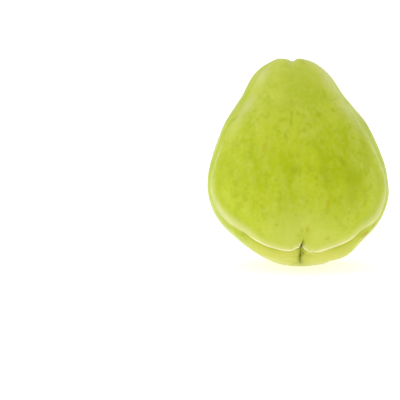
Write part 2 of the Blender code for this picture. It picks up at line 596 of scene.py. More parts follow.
@dataclass(frozen=True)
class Mouth:
    """The closed mouth across the blossom end: two lips, the folds at its middle and its pleats."""

    depth: float = 8.0 * MM
    opening: Fade = Fade(54 * MM, 1 * MM)  # from its middle: it has closed up where this starts
    front_roll: float = 3.4 * MM
    rear_roll: float = 2.4 * MM
    cheek: float = 6.0 * MM  # the rear lobe slopes back to the mouth over this
    cheek_share: float = 0.45
    lip_lift: Strip = Strip(0.7 * MM, 3.6 * MM, 3.6 * MM)  # the front lip stands proud of the lobe
    lip_lift_start: Fade = Fade(2 * MM, 12 * MM)
    pinch: Strip = Strip(4.6 * MM, -1.9 * MM, 5.0 * MM)  # the folds draw the lips forward by this
    pinch_end: Fade = Fade(30 * MM, 10 * MM)
    corner: Strip = Strip(1.7 * MM, 34 * MM, 9 * MM)  # each corner turns up towards the seam
    corner_end: Fade = Fade(62 * MM, 40 * MM)
    parting: Fade = Fade(0.02, 0.45)  # of the openness. Below it the mouth is only a soft groove.
    groove_width: float = 2.8 * MM
    wander: Unrest = Unrest(0.35 * MM, 9 * MM, 12)
    fold_depth: float = 5.0 * MM
    fold_roll: float = 2.0 * MM
    fold_sharpness: float = 0.55
    fold_wander: Unrest = Unrest(0.18 * MM, 5 * MM, 13)
    front_fold_tilt: float = 0.30  # it leans this much to the right as it runs forward
    rear_fold_tilt: float = 0.05  # it leans this much to the right as it runs back
    rear_fold_share: float = 0.75  # of the front fold's depth
    front_fold_reach: float = 17 * MM
    rear_fold_reach: float = 23 * MM
    pleat: Unrest = Unrest(0.24 * MM, 0.22, 11)  # one takes up this many radians
    pleat_end: Fade = Fade(18 * MM, 4 * MM)
    pleat_run: float = 40 * MM  # they change slowly over this, down the fruit
    tint: MouthTint = MouthTint()

    def openness(self, skin: SkinMap) -> np.ndarray:
        """1 in the middle of the mouth, down to 0 where it has closed up."""
        return self.opening.at(skin.from_mouth)

    def turned_up(self, skin: SkinMap) -> np.ndarray:
        """How far the corners of the mouth turn up towards the front."""
        return self.corner.at(np.abs(skin.rightward)) * self.corner_end.at(skin.from_mouth)

    def from_crease(self, skin: SkinMap) -> np.ndarray:
        """Distance from where the lips meet, negative on the front lip and positive on the rear."""
        pinched = self.pinch.at(skin.rightward) * self.pinch_end.at(skin.from_mouth)
        return skin.rearward + pinched + self.turned_up(skin) + self.wander.at(skin.plain)

    def from_fold(self, skin: SkinMap) -> np.ndarray:
        """Measures how far the skin is from the fold that crosses the mouth's middle.

        Args:
            skin: The skin's map.

        Returns:
            The distance.
        """
        rearward = skin.rearward + self.pinch.height
        leaning = self.front_fold_tilt * np.clip(-rearward, 0, None)
        leaning = leaning + self.rear_fold_tilt * np.clip(rearward, 0, None)
        wander = self.fold_wander.at(skin.plain)
        return np.abs(skin.rightward - self.pinch.place - leaning + wander)

    def lips(self, skin: SkinMap, from_crease: np.ndarray) -> np.ndarray:
        """Shapes the two lips.

        Args:
            skin: The skin's map.
            from_crease: Distance from where the lips meet.

        Returns:
            How far they press the skin in.
        """
        away = np.abs(from_crease)
        rear = self.cheek_share * np.exp(-away / self.cheek)
        rear = rear + (1 - self.cheek_share) * rolled_edge(away, self.rear_roll)
        section = np.where(from_crease > 0, rear, rolled_edge(away, self.front_roll))
        parted = self.parting.at(self.openness(skin))
        section = parted * section + (1 - parted) * bell(away, self.groove_width)
        lift = self.lip_lift.at(away) * (from_crease < 0) * self.lip_lift_start.at(skin.from_mouth)
        return self.openness(skin) * (self.depth * section - lift)

    def folds(self, skin: SkinMap, from_crease: np.ndarray, from_fold: np.ndarray) -> np.ndarray:
        """Shapes the short fold that crosses the mouth's middle on both lobes.

        Args:
            skin: The skin's map.
            from_crease: Distance from where the lips meet.
            from_fold: Distance from the fold.

        Returns:
            How far it presses the skin in.
        """
        reach = np.where(from_crease > 0, self.rear_fold_reach, self.front_fold_reach)
        share = smooth_step(skin.from_mouth / reach, 1.0, 0.0)
        section = self.fold_sharpness * rolled_edge(from_fold, self.fold_roll)
        section = section + (1 - self.fold_sharpness) * bell(from_fold, self.fold_roll)
        depth = self.fold_depth * np.where(from_crease > 0, self.rear_fold_share, 1.0)
        return depth * share * section

    def pleats(self, skin: SkinMap) -> np.ndarray:
        """How far the fine pleats that run out of the mouth's middle press the skin in."""
        wheel = [np.cos(skin.turn), np.sin(skin.turn), skin.from_mouth / self.pleat_run]
        return self.pleat_end.at(skin.from_mouth) * self.pleat.at(np.stack(wheel, axis=-1))

    def press(self, skin: SkinMap) -> Relief:
        """Presses the mouth into the skin.

        Args:
            skin: The skin's map.

        Returns:
            The mouth's relief and marks.
        """
        from_crease = self.from_crease(skin)
        from_fold = self.from_fold(skin)
        folds = self.folds(skin, from_crease, from_fold)
        depth = np.maximum(self.lips(skin, from_crease), folds) + self.pleats(skin)
        marks = self.tint.marks(skin, self.openness(skin), from_crease, from_fold, folds)
        return Relief(depth, marks)


@dataclass(frozen=True)
class SideFurrow:
    """The furrow that carries the seam up each side, between low ridges."""

    # Rearward of the seam. What lies in has a positive height.
    furrow: Strip = Strip(0.75 * MM, 2.6 * MM, 3.2 * MM)
    rib: Strip = Strip(-0.25 * MM, -2.6 * MM, 4.2 * MM)
    hollow: Strip = Strip(0.35 * MM, -9.0 * MM, 3.6 * MM)  # on the belly only, as is the swell
    swell: Strip = Strip(-0.20 * MM, -18.0 * MM, 4.0 * MM)
    stem_end: Fade = Fade(8 * MM, 24 * MM)  # from the stem scar
    opening: Fade = Fade(0.6, 0.0)  # of the mouth's openness, which ends the furrow
    off_seam: Fade = Fade(36 * MM, 60 * MM)  # from the mouth. The furrow has left the seam past these.
    neck: Fade = Fade(82.0, 50.0)  # degrees down
    neck_share: float = 0.45  # furrow and rib are this much as deep on the neck
    sway: Unrest = Unrest(1.3 * MM, 22 * MM, 31)
    rib_amount: float = 0.62
    rib_unrest: Unrest = Unrest(0.55, 15 * MM, 32)
    rib_least: float = 0.12
    belly: Fade = Fade(58.0, 88.0)  # degrees down
    belly_end: Fade = Fade(26 * MM, 44 * MM)  # from the mouth
    furrow_shade: float = 0.7  # painted shade in the furrow, beside the hollow's
    swell_pale_and_highlight: float = 0.2  # partly the swell's paler skin, partly painted highlight, beside the rib's
    # Painted highlight: a pale band is painted along the front lobe's edge, on the neck and near the
    # mouth's corners, for the rim light there.
    edge_highlight_neck: Fade = Fade(62.0, 34.0)  # degrees down
    edge_highlight_strip: Strip = Strip(0.75, -2.2 * MM, 4.6 * MM)
    edge_highlight_start: Fade = Fade(26 * MM, 40 * MM)  # from the mouth
    edge_highlight_end: Fade = Fade(86 * MM, 58 * MM)
    edge_highlight_place: float = -3.4 * MM
    edge_highlight_width: float = 2.4 * MM
    edge_highlight_spread: float = 1.8 * MM  # it is this much wider near the mouth's corners
    edge_highlight_spreads: Fade = Fade(66 * MM, 44 * MM)
    edge_highlight_amount: float = 0.8
    edge_highlight_unrest: Unrest = Unrest(0.5, 12 * MM, 33)

    def stretched(self, skin: SkinMap, across: np.ndarray, started: np.ndarray) -> np.ndarray:
        """Finds where the painted highlight lies along the front lobe's edges.

        Args:
            skin: The skin's map.
            across: Distance rearward of the seam's line.
            started: 1 where the furrow has started below the stem.

        Returns:
            The painted edge highlight.
        """
        at_neck = self.edge_highlight_strip.at(skin.rearward) * self.edge_highlight_neck.at(np.degrees(skin.down))
        at_corner = self.edge_highlight_start.at(skin.from_mouth) * self.edge_highlight_end.at(skin.from_mouth)
        spread = self.edge_highlight_spread * self.edge_highlight_spreads.at(skin.from_mouth)
        at_corner = at_corner * bell(across - self.edge_highlight_place, self.edge_highlight_width + spread)
        amount = self.edge_highlight_amount + self.edge_highlight_unrest.at(skin.plain)
        return np.clip(amount, 0, 1) * np.maximum(started * at_neck, at_corner)

    def press(self, skin: SkinMap, mouth: Mouth) -> Relief:
        """Presses the furrow and its ridges into the skin.

        Args:
            skin: The skin's map.
            mouth: The mouth, which the furrow runs into.

        Returns:
            The furrow's relief, with the painted shade of the valleys, the ridges' pale tint that is
            partly painted highlight, and the painted edge highlight.
        """
        started = self.stem_end.at(skin.from_stem)
        off_seam = self.off_seam.at(skin.from_mouth)
        across = skin.rearward + mouth.turned_up(skin) + off_seam * self.sway.at(skin.plain)
        neck = self.neck.at(np.degrees(skin.down))
        shown = started * self.opening.at(mouth.openness(skin))
        shown = shown * (1 - (1 - self.neck_share) * neck)
        furrow = shown * self.furrow.share(across + (1 - off_seam) * self.furrow.place)
        amount = self.rib_amount + self.rib_unrest.at(skin.plain)
        rib = shown * self.rib.share(across) * np.clip(amount, self.rib_least, 1)
        belly = self.belly.at(np.degrees(skin.down)) * self.belly_end.at(skin.from_mouth)
        hollow = belly * self.hollow.share(across)
        swell = belly * self.swell.share(across)
        depth = self.furrow.height * furrow + self.rib.height * rib
        depth = depth + self.hollow.height * hollow + self.swell.height * swell
        marks = {
            # Painted shade in the furrow and the hollow.
            Mark.VALLEY_SHADE: np.maximum(self.furrow_shade * furrow, hollow),
            # Partly the ribs' paler skin, partly painted highlight.
            Mark.RIDGE_PALE_AND_HIGHLIGHT: np.maximum(rib, self.swell_pale_and_highlight * swell),
            # Painted highlight along the front lobe's edge.
            Mark.STRETCH: self.stretched(skin, across, started),
        }
        return Relief(depth, marks)


@dataclass(frozen=True)
class StemEnd:
    """The neck's end: a shallow pit for the stem scar and a dip in the crown's rim."""

    pit_depth: float = 3.0 * MM
    pit_wall: Fade = Fade(11 * MM, 3.3 * MM)  # from the scar's middle, as are the other pairs
    dimple: Strip = Strip(2.3 * MM, 0.0, 6.0 * MM)
    dimple_end: Fade = Fade(20 * MM, 10 * MM)
    pleats: int = 5
    pleat_depth: float = 0.20 * MM
    pleat_start: Fade = Fade(3 * MM, 6 * MM)
    pleat_end: Fade = Fade(14 * MM, 8 * MM)
    wrinkles: int = 17
    wrinkle_depth: float = 0.12 * MM
    wrinkle_start: Fade = Fade(2.5 * MM, 4 * MM)
    wrinkle_end: Fade = Fade(10 * MM, 5 * MM)
    wrinkle_unrest: Unrest = Unrest(2.2, 7 * MM, 41)  # radians high
    # Painted light: the crown is painted paler towards the scar, where the light from above falls.
    crown: Fade = Fade(44 * MM, 10 * MM)
    # A darker green ring round the scar: partly the real green ring of the pit, partly painted shade in
    # it.
    shade: Strip = Strip(0.9, 6 * MM, 3 * MM)

    def press(self, skin: SkinMap) -> Relief:
        """Presses the pit and the dip into the skin.

        Args:
            skin: The skin's map.

        Returns:
            The stem end's relief, with the crown's painted light and the pit's darker ring, which is
            partly painted shade.
        """
        out = skin.from_stem
        pit = self.pit_depth * self.pit_wall.at(out)
        dimple = self.dimple.at(skin.rightward) * self.dimple_end.at(out)
        pleats = self.pleat_start.at(out) * self.pleat_end.at(out)
        pleats = self.pleat_depth * pleats * np.cos(self.pleats * skin.turn)
        unrest = self.wrinkle_unrest.at(skin.plain)
        wrinkles = self.wrinkle_start.at(out) * self.wrinkle_end.at(out)
        wrinkles = self.wrinkle_depth * wrinkles * np.cos(self.wrinkles * skin.turn + unrest)
        depth = np.maximum(pit, dimple) + pleats + wrinkles
        return Relief(depth, {Mark.CROWN: self.crown.at(out), Mark.PIT_SHADE: self.shade.at(out)})


@dataclass(frozen=True)
class Swelling:
    """The uneven growth of the flesh under the skin, and the skin's own faint orange peel."""

    lumps: Unrest = Unrest(0.55 * MM, 26 * MM, 1)
    bumps: Unrest = Unrest(0.16 * MM, 9 * MM, 2)
    peel: Unrest = Unrest(0.035 * MM, 2.6 * MM, 3)
    shortening: float = 0.6  # heights are taken at this share, which draws the swells out

    def press(self, skin: SkinMap) -> Relief:
        """The relief of the lumps, the bumps and the peel."""
        stretched = skin.plain * np.array([1.0, 1.0, self.shortening])
        return Relief(self.lumps.at(stretched) + self.bumps.at(stretched) + self.peel.at(skin.plain))


@dataclass(frozen=True)
class Patch:
    """An oval patch of the skin."""

    down: float  # degrees down from the crown
    turn: float  # degrees round from the right-hand seam
    length: float  # down the fruit
    width: float

    def away(self, skin: SkinMap) -> np.ndarray:
        """Measures the way from the patch's middle.

        Args:
            skin: The skin's map.

        Returns:
            The distance as a share of the patch's half size.
        """
        lengthwise = (skin.down - math.radians(self.down)) * skin.radius / (self.length / 2)
        round_by = (skin.turn - math.radians(self.turn) + math.pi) % (2 * math.pi) - math.pi
        crosswise = round_by * skin.radius * np.sin(skin.down) / (self.width / 2)
        return np.hypot(lengthwise, crosswise)


@dataclass(frozen=True)
class Blemish(Patch):
    """One healed rub or fleck."""

    mark: Mark
    strength: float = 1.0
    hollow: float = 0.0  # how far its middle has healed
    hollow_size: float = 0.55

    def print_on(self, skin: SkinMap) -> np.ndarray:
        """Its strength at each point of the skin."""
        away = self.away(skin)
        healed = self.hollow * bell(away, self.hollow_size)
        return self.strength * np.clip(bell(away, 1.0) - healed, 0, 1)


@dataclass(frozen=True)
class Lump(Patch):
    """One place where the flesh has grown out, or has stayed behind."""

    height: float

    def press(self, skin: SkinMap) -> Relief:
        """The lump's relief, on its own."""
        return Relief(-self.height * bell(self.away(skin), 1.0))


@dataclass
class FruitSkin:
    """The fruit's whole skin, as one closed mesh."""

    body: Body = field(default_factory=Body)
    mouth: Mouth = field(default_factory=Mouth)
    side_furrow: SideFurrow = field(default_factory=SideFurrow)
    stem_end: StemEnd = field(default_factory=StemEnd)
    swelling: Swelling = field(default_factory=Swelling)
    blemishes: tuple[Blemish, ...] = (
        Blemish(37, 258, 2.6 * MM, 2.0 * MM, Mark.FLECK, 0.9),
        Blemish(36.5, 272, 2.2 * MM, 1.8 * MM, Mark.FLECK, 0.9),
        Blemish(39, 315, 2.0 * MM, 2.8 * MM, Mark.FLECK, 0.9),
        Blemish(38, 338, 2.2 * MM, 2.0 * MM, Mark.FLECK, 0.9),
        Blemish(42, 257, 4.0 * MM, 2.6 * MM, Mark.FLECK, 0.9),
        Blemish(35, 300, 1.8 * MM, 1.6 * MM, Mark.FLECK, 0.8),
        Blemish(51, 247, 3.2 * MM, 1.8 * MM, Mark.FLECK, 0.9),
        Blemish(53.5, 250, 4.4 * MM, 1.4 * MM, Mark.FLECK, 0.7),
        Blemish(55, 307, 3.0 * MM, 2.2 * MM, Mark.FLECK, 0.7),
        Blemish(73, 321, 4.4 * MM, 3.8 * MM, Mark.FLECK, 1.0),
        Blemish(79, 263, 6.0 * MM, 8.0 * MM, Mark.FLECK, 0.8),
        Blemish(85, 299, 18 * MM, 6.0 * MM, Mark.FLECK, 0.6),
        Blemish(90, 325, 20 * MM, 12 * MM, Mark.FLECK, 0.6),
        Blemish(103, 324, 14 * MM, 9.0 * MM, Mark.FLECK, 0.5),
        Blemish(61, 223, 3.6 * MM, 3.4 * MM, Mark.RUB, 0.9, 0.6),
        Blemish(115, 302, 6.5 * MM, 1.8 * MM, Mark.RUB, 0.9),
        Blemish(149, 279, 4.2 * MM, 2.4 * MM, Mark.RUB, 0.9),
        Blemish(12, 321, 3.6 * MM, 3.6 * MM, Mark.RUB, 0.8),
        Blemish(128, 5, 5.5 * MM, 2.8 * MM, Mark.RUSSET, 1.0),
        Blemish(119, 4, 3.2 * MM, 1.8 * MM, Mark.RUSSET, 0.9),
        Blemish(96, 96, 4.0 * MM, 2.0 * MM, Mark.RUB, 0.8),
        Blemish(70, 62, 2.6 * MM, 2.6 * MM, Mark.RUB, 0.8, 0.6),
        Blemish(118, 133, 8.0 * MM, 1.6 * MM, Mark.RUB, 0.8),
        Blemish(60, 110, 7.0 * MM, 5.0 * MM, Mark.FLECK, 0.8),
        Blemish(88, 75, 16 * MM, 7.0 * MM, Mark.FLECK, 0.8),
        Blemish(77, 130, 4.0 * MM, 3.6 * MM, Mark.FLECK, 0.9),
        Blemish(50, 80, 3.0 * MM, 2.4 * MM, Mark.FLECK, 0.9),
    )
    lumps: tuple[Lump, ...] = (
        Lump(145, 24, 17 * MM, 17 * MM, 1.5 * MM),
        Lump(146, 155, 16 * MM, 16 * MM, 0.9 * MM),
        Lump(18, 352, 14 * MM, 14 * MM, 1.3 * MM),
        Lump(15.5, 181, 5 * MM, 5 * MM, -0.5 * MM),
    )
    fleck_count: int = 110
    fleck_sizes: tuple[float, float] = (1.3 * MM, 3.0 * MM)
    fleck_stretches: tuple[float, float] = (0.7, 1.4)  # length for breadth
    fleck_strengths: tuple[float, float] = (0.3, 0.7)
    fleck_seed: int = 8
    lean_back: float = 13.0  # degrees
    rest_spot_depth: float = 1.8 * MM
    rest_spot_rim: float = 0.8 * MM  # the flattened spot rounds off over this height
    seat_ring: int = 6  # the scar's seat lies square to this ring round the crown

    def scattered_flecks(self) -> list[Blemish]:
        """Scatters small flecks all over the fruit.

        Returns:
            The flecks.
        """
        chance = np.random.default_rng(self.fleck_seed)
        flecks = []
        for _ in range(self.fleck_count):
            down = math.degrees(math.acos(1 - 2 * chance.random()))
            turn = 360 * chance.random()
            width = chance.uniform(*self.fleck_sizes)
            length = width * chance.uniform(*self.fleck_stretches)
            strength = chance.uniform(*self.fleck_strengths)
            flecks.append(Blemish(down, turn, length, width, Mark.FLECK, strength))
        return flecks

    def relief(self, skin: SkinMap) -> Relief:
        """Adds up everything that shapes or marks the skin.

        Args:
            skin: The skin's map.

        Returns:
            The whole relief.
        """
        parts = [
            self.mouth.press(skin),
            self.side_furrow.press(skin, self.mouth),
            self.stem_end.press(skin),
            self.swelling.press(skin),
            *(lump.press(skin) for lump in self.lumps),
        ]
        marks = {mark: np.zeros_like(skin.down) for mark in Mark}
        for part in parts:
            marks.update(part.marks)
        for blemish in [*self.blemishes, *self.scattered_flecks()]:
            marks[blemish.mark] = np.maximum(marks[blemish.mark], blemish.print_on(skin))
        return Relief(sum(part.depth for part in parts), marks)

    def stand(self, points: np.ndarray) -> np.ndarray:
        """Leans the fruit back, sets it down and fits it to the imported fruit's box.

        Args:
            points: The skin's points from the core.

        Returns:
            The points where they belong.
        """
        placed = points.copy()
        placed[..., 0] -= placed[..., 2] * self.body.neck_offset / self.body.length
        lean = np.array(Matrix.Rotation(math.radians(-self.lean_back), 3, "X"))
        placed = placed @ lean.T
        placed[..., 2] -= placed[..., 2].min() + self.rest_spot_depth
        height = placed[..., 2]
        rim = np.clip(self.rest_spot_rim - np.abs(height), 0, None) ** 2 / (4 * self.rest_spot_rim)
        placed[..., 2] = np.maximum(height, 0) + rim
        low, high = (np.array(corner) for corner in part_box(FRUIT))
        own_low = placed.reshape(-1, 3).min(axis=0)
        own_high = placed.reshape(-1, 3).max(axis=0)
        return low + (placed - own_low) * (high - low) / (own_high - own_low)

    def build(self, finish: Material) -> tuple[bpy.types.Object, Matrix]:
        """Builds the skin and dresses it.

        Args:
            finish: The skin's material.

        Returns:
            The skin, and the seat of the stem scar: its middle, with z along the stalk.
        """
        skin = self.body.skin_map()
        relief = self.relief(skin)
        points = self.stand(skin.way * (skin.radius - relief.depth)[..., None])
        rings, columns = points.shape[:2]
        last = 1 + (rings - 2) * columns
        ring = np.arange(last - columns, last)
        mouth_fan = np.stack([ring, np.full_like(ring, last), np.roll(ring, -1)], axis=-1)
        faces = [*tip_and_rings(rings - 2, columns), *mouth_fan.tolist()]
        marks = {mark.value: self.in_order(values) for mark, values in relief.marks.items()}
        piece = add_piece("chayote_skin", self.in_order(points), faces, marks, finish)
        return piece, self.stem_seat(points)

    def in_order(self, grid: np.ndarray) -> np.ndarray:
        """What the grid holds, in the points' order: each end's once and every ring's."""
        return np.concatenate([grid[:1, 0], grid[1:-1].reshape(-1, *grid.shape[2:]), grid[-1:, 0]])

    def stem_seat(self, points: np.ndarray) -> Matrix:
        """Finds where the stem scar sits.

        Args:
            points: The skin's points in place.

        Returns:
            A frame at the crown's point with z square to the skin there.
        """
        ring = points[self.seat_ring]
        quarter = len(ring) // 4
        across = Vector(ring[0] - ring[2 * quarter])
        along = Vector(ring[quarter] - ring[3 * quarter])
        out = across.cross(along).normalized()
        turned = out.to_track_quat("Z", "Y").to_matrix().to_4x4()
        return Matrix.Translation(Vector(points[0, 0])) @ turned


@dataclass
class StemScar:
    """The button of cork that closed the cut stalk. Places across it are shares of its radius."""

    radius: float = 3.7 * MM
    height: float = 0.9 * MM
    dome_power: int = 4
    skirt: tuple[tuple[float, float], ...] = ((1.02, 0.48 * MM), (1.0, 1.2 * MM))  # place, depth sunk
    rings: int = 44
    columns: int = 150
    raggedness: Unrest = Unrest(0.10, 0.45, 21)
    rim: Strip = Strip(0.5 * MM, 0.86, 0.10)
    rim_unrest: Unrest = Unrest(0.5, 0.25, 22)
    rim_tint: Fade = Fade(0.62, 0.95)
    strands: Strip = Strip(0.35 * MM, 0.52, 0.11)  # bundles that fed the fruit, pits in a circle
    strand_count: int = 9
    strand_power: int = 3
    pith: Strip = Strip(0.35 * MM, 0.0, 0.16)
    cracks: Unrest = Unrest(0.30 * MM, 0.5 * MM, 23)
    crack_start: Fade = Fade(0.1, 0.5)
    grain: Unrest = Unrest(0.08 * MM, 0.9 * MM, 24)

    def points(self) -> np.ndarray:
        """Shapes the button.

        Returns:
            Its points, a row for each ring from the middle out and down the skirt.
        """
        share = np.concatenate([np.linspace(0, 1, self.rings), [place for place, _ in self.skirt]])
        around = np.linspace(0, 2 * math.pi, self.columns, endpoint=False)
        out, turn = np.meshgrid(share, around, indexing="ij")
        wheel = np.stack([np.cos(turn), np.sin(turn), np.zeros_like(turn)], axis=-1)
        edge = self.radius * (1 + self.raggedness.at(wheel))
        shaped = wheel * (out * edge)[..., None]
        rise = self.height * (1 - out**self.dome_power)
        rise = rise + self.rim.at(out) * (1 + self.rim_unrest.at(wheel))
        pits = np.clip(np.cos(self.strand_count * turn), 0, 1) ** self.strand_power
        rise = rise - self.strands.at(out) * pits - self.pith.at(out) + self.grain.at(shaped)
        rise = rise - np.clip(self.cracks.at(shaped), 0, self.cracks.height) * self.crack_start.at(out)
        shaped[..., 2] = rise
        for ring, (_, sunk) in enumerate(self.skirt, start=self.rings):
            shaped[ring, :, 2] = -sunk
        return shaped

    def build(self, seat: Matrix, finish: Material) -> bpy.types.Object:
        """Builds the scar and sets it in its seat.

        Args:
            seat: Where it sits, with z along the stalk.
            finish: The cork's material.

        Returns:
            The scar.
        """
        points = self.points()
        rings, columns = points.shape[:2]
        vertices = np.concatenate([points[:1, 0], points[1:].reshape(-1, 3)])
        out = np.hypot(vertices[:, 0], vertices[:, 1]) / self.radius
        marks = {SCAR_RIM: self.rim_tint.at(out)}
        piece = add_piece("stem_scar", vertices, tip_and_rings(rings - 1, columns), marks, finish)
        piece.data.transform(seat)
        return piece


@dataclass(frozen=True)
class Clouding:
    """One cloudy pattern that the tissue under the cuticle shows."""

    colour: str
    swell: float  # real size of one swell, across the fruit
    drawn_out: float  # how many times longer it is down the fruit
    starts: float  # where in the swells' height it starts to show
    full: float
    amount: float
    detail: float = 3.0  # how many times the swells are halved for finer ones
    fineness: float = 0.55

    def layer(self, tree: Tree, place: Socket) -> Socket:
        """Draws the pattern.

        Args:
            tree: The material's node tree.
            place: Where each point lies.

        Returns:
            How much of its colour shows at each point.
        """
        inputs = {"Vector": place, "Scale": (1.0, 1.0, 1 / self.drawn_out)}
        squeezed = add_node(tree, "ShaderNodeMapping", {}, inputs)["Vector"]
        inputs = {"Vector": squeezed, "Scale": 1 / self.swell}
        inputs |= {"Detail": self.detail, "Roughness": self.fineness}
        height = add_node(tree, "ShaderNodeTexNoise", {}, inputs)["Fac"]
        inputs = {"Value": height, "From Min": self.starts, "From Max": self.full, "To Max": self.amount}
        return add_node(tree, "ShaderNodeMapRange", SMOOTH, inputs)["Result"]


@dataclass(frozen=True)
class Spotting:
    """Small round spots, one at most in each cell of skin."""

    colour: str
    spacing: float
    radius: float
    missing: float  # the share of the cells that have none
    amount: float
    spread: float = 1.3  # a spot fades out at this many times its radius
    choice: float = 0.05  # faint ones are this share of the cells

    def layer(self, tree: Tree, place: Socket) -> Socket:
        """Draws the spots.

        Args:
            tree: The material's node tree.
            place: Where each point lies.

        Returns:
            How much of their colour shows at each point.
        """
        inputs = {"Vector": place, "Scale": 1 / self.spacing}
        cells = add_node(tree, "ShaderNodeTexVoronoi", {}, inputs)
        edge = self.spread * self.radius / self.spacing
        shares = []
        for value, start, end, top in (
            (cells["Distance"], edge, 0.0, self.amount),
            (cells["Color"], self.missing, self.missing + self.choice, 1.0),
        ):
            inputs = {"Value": value, "From Min": start, "From Max": end, "To Max": top}
            shares.append(add_node(tree, "ShaderNodeMapRange", SMOOTH, inputs)["Result"])
        return add_node(tree, "ShaderNodeMath", MULTIPLY, dict(enumerate(shares)))[0]


@dataclass(frozen=True)
class Stain:
    """The colour that one of the mesh's marks lays over the skin."""

    mark: Mark
    colour: str
    amount: float = 1.0

    def layer(self, tree: Tree) -> Socket:
        """How much of the colour shows at each point."""
        mark = add_node(tree, "ShaderNodeAttribute", {"attribute_name": self.mark.value})
        inputs = {0: mark["Fac"], 1: self.amount}
        return add_node(tree, "ShaderNodeMath", MULTIPLY, inputs)[0]


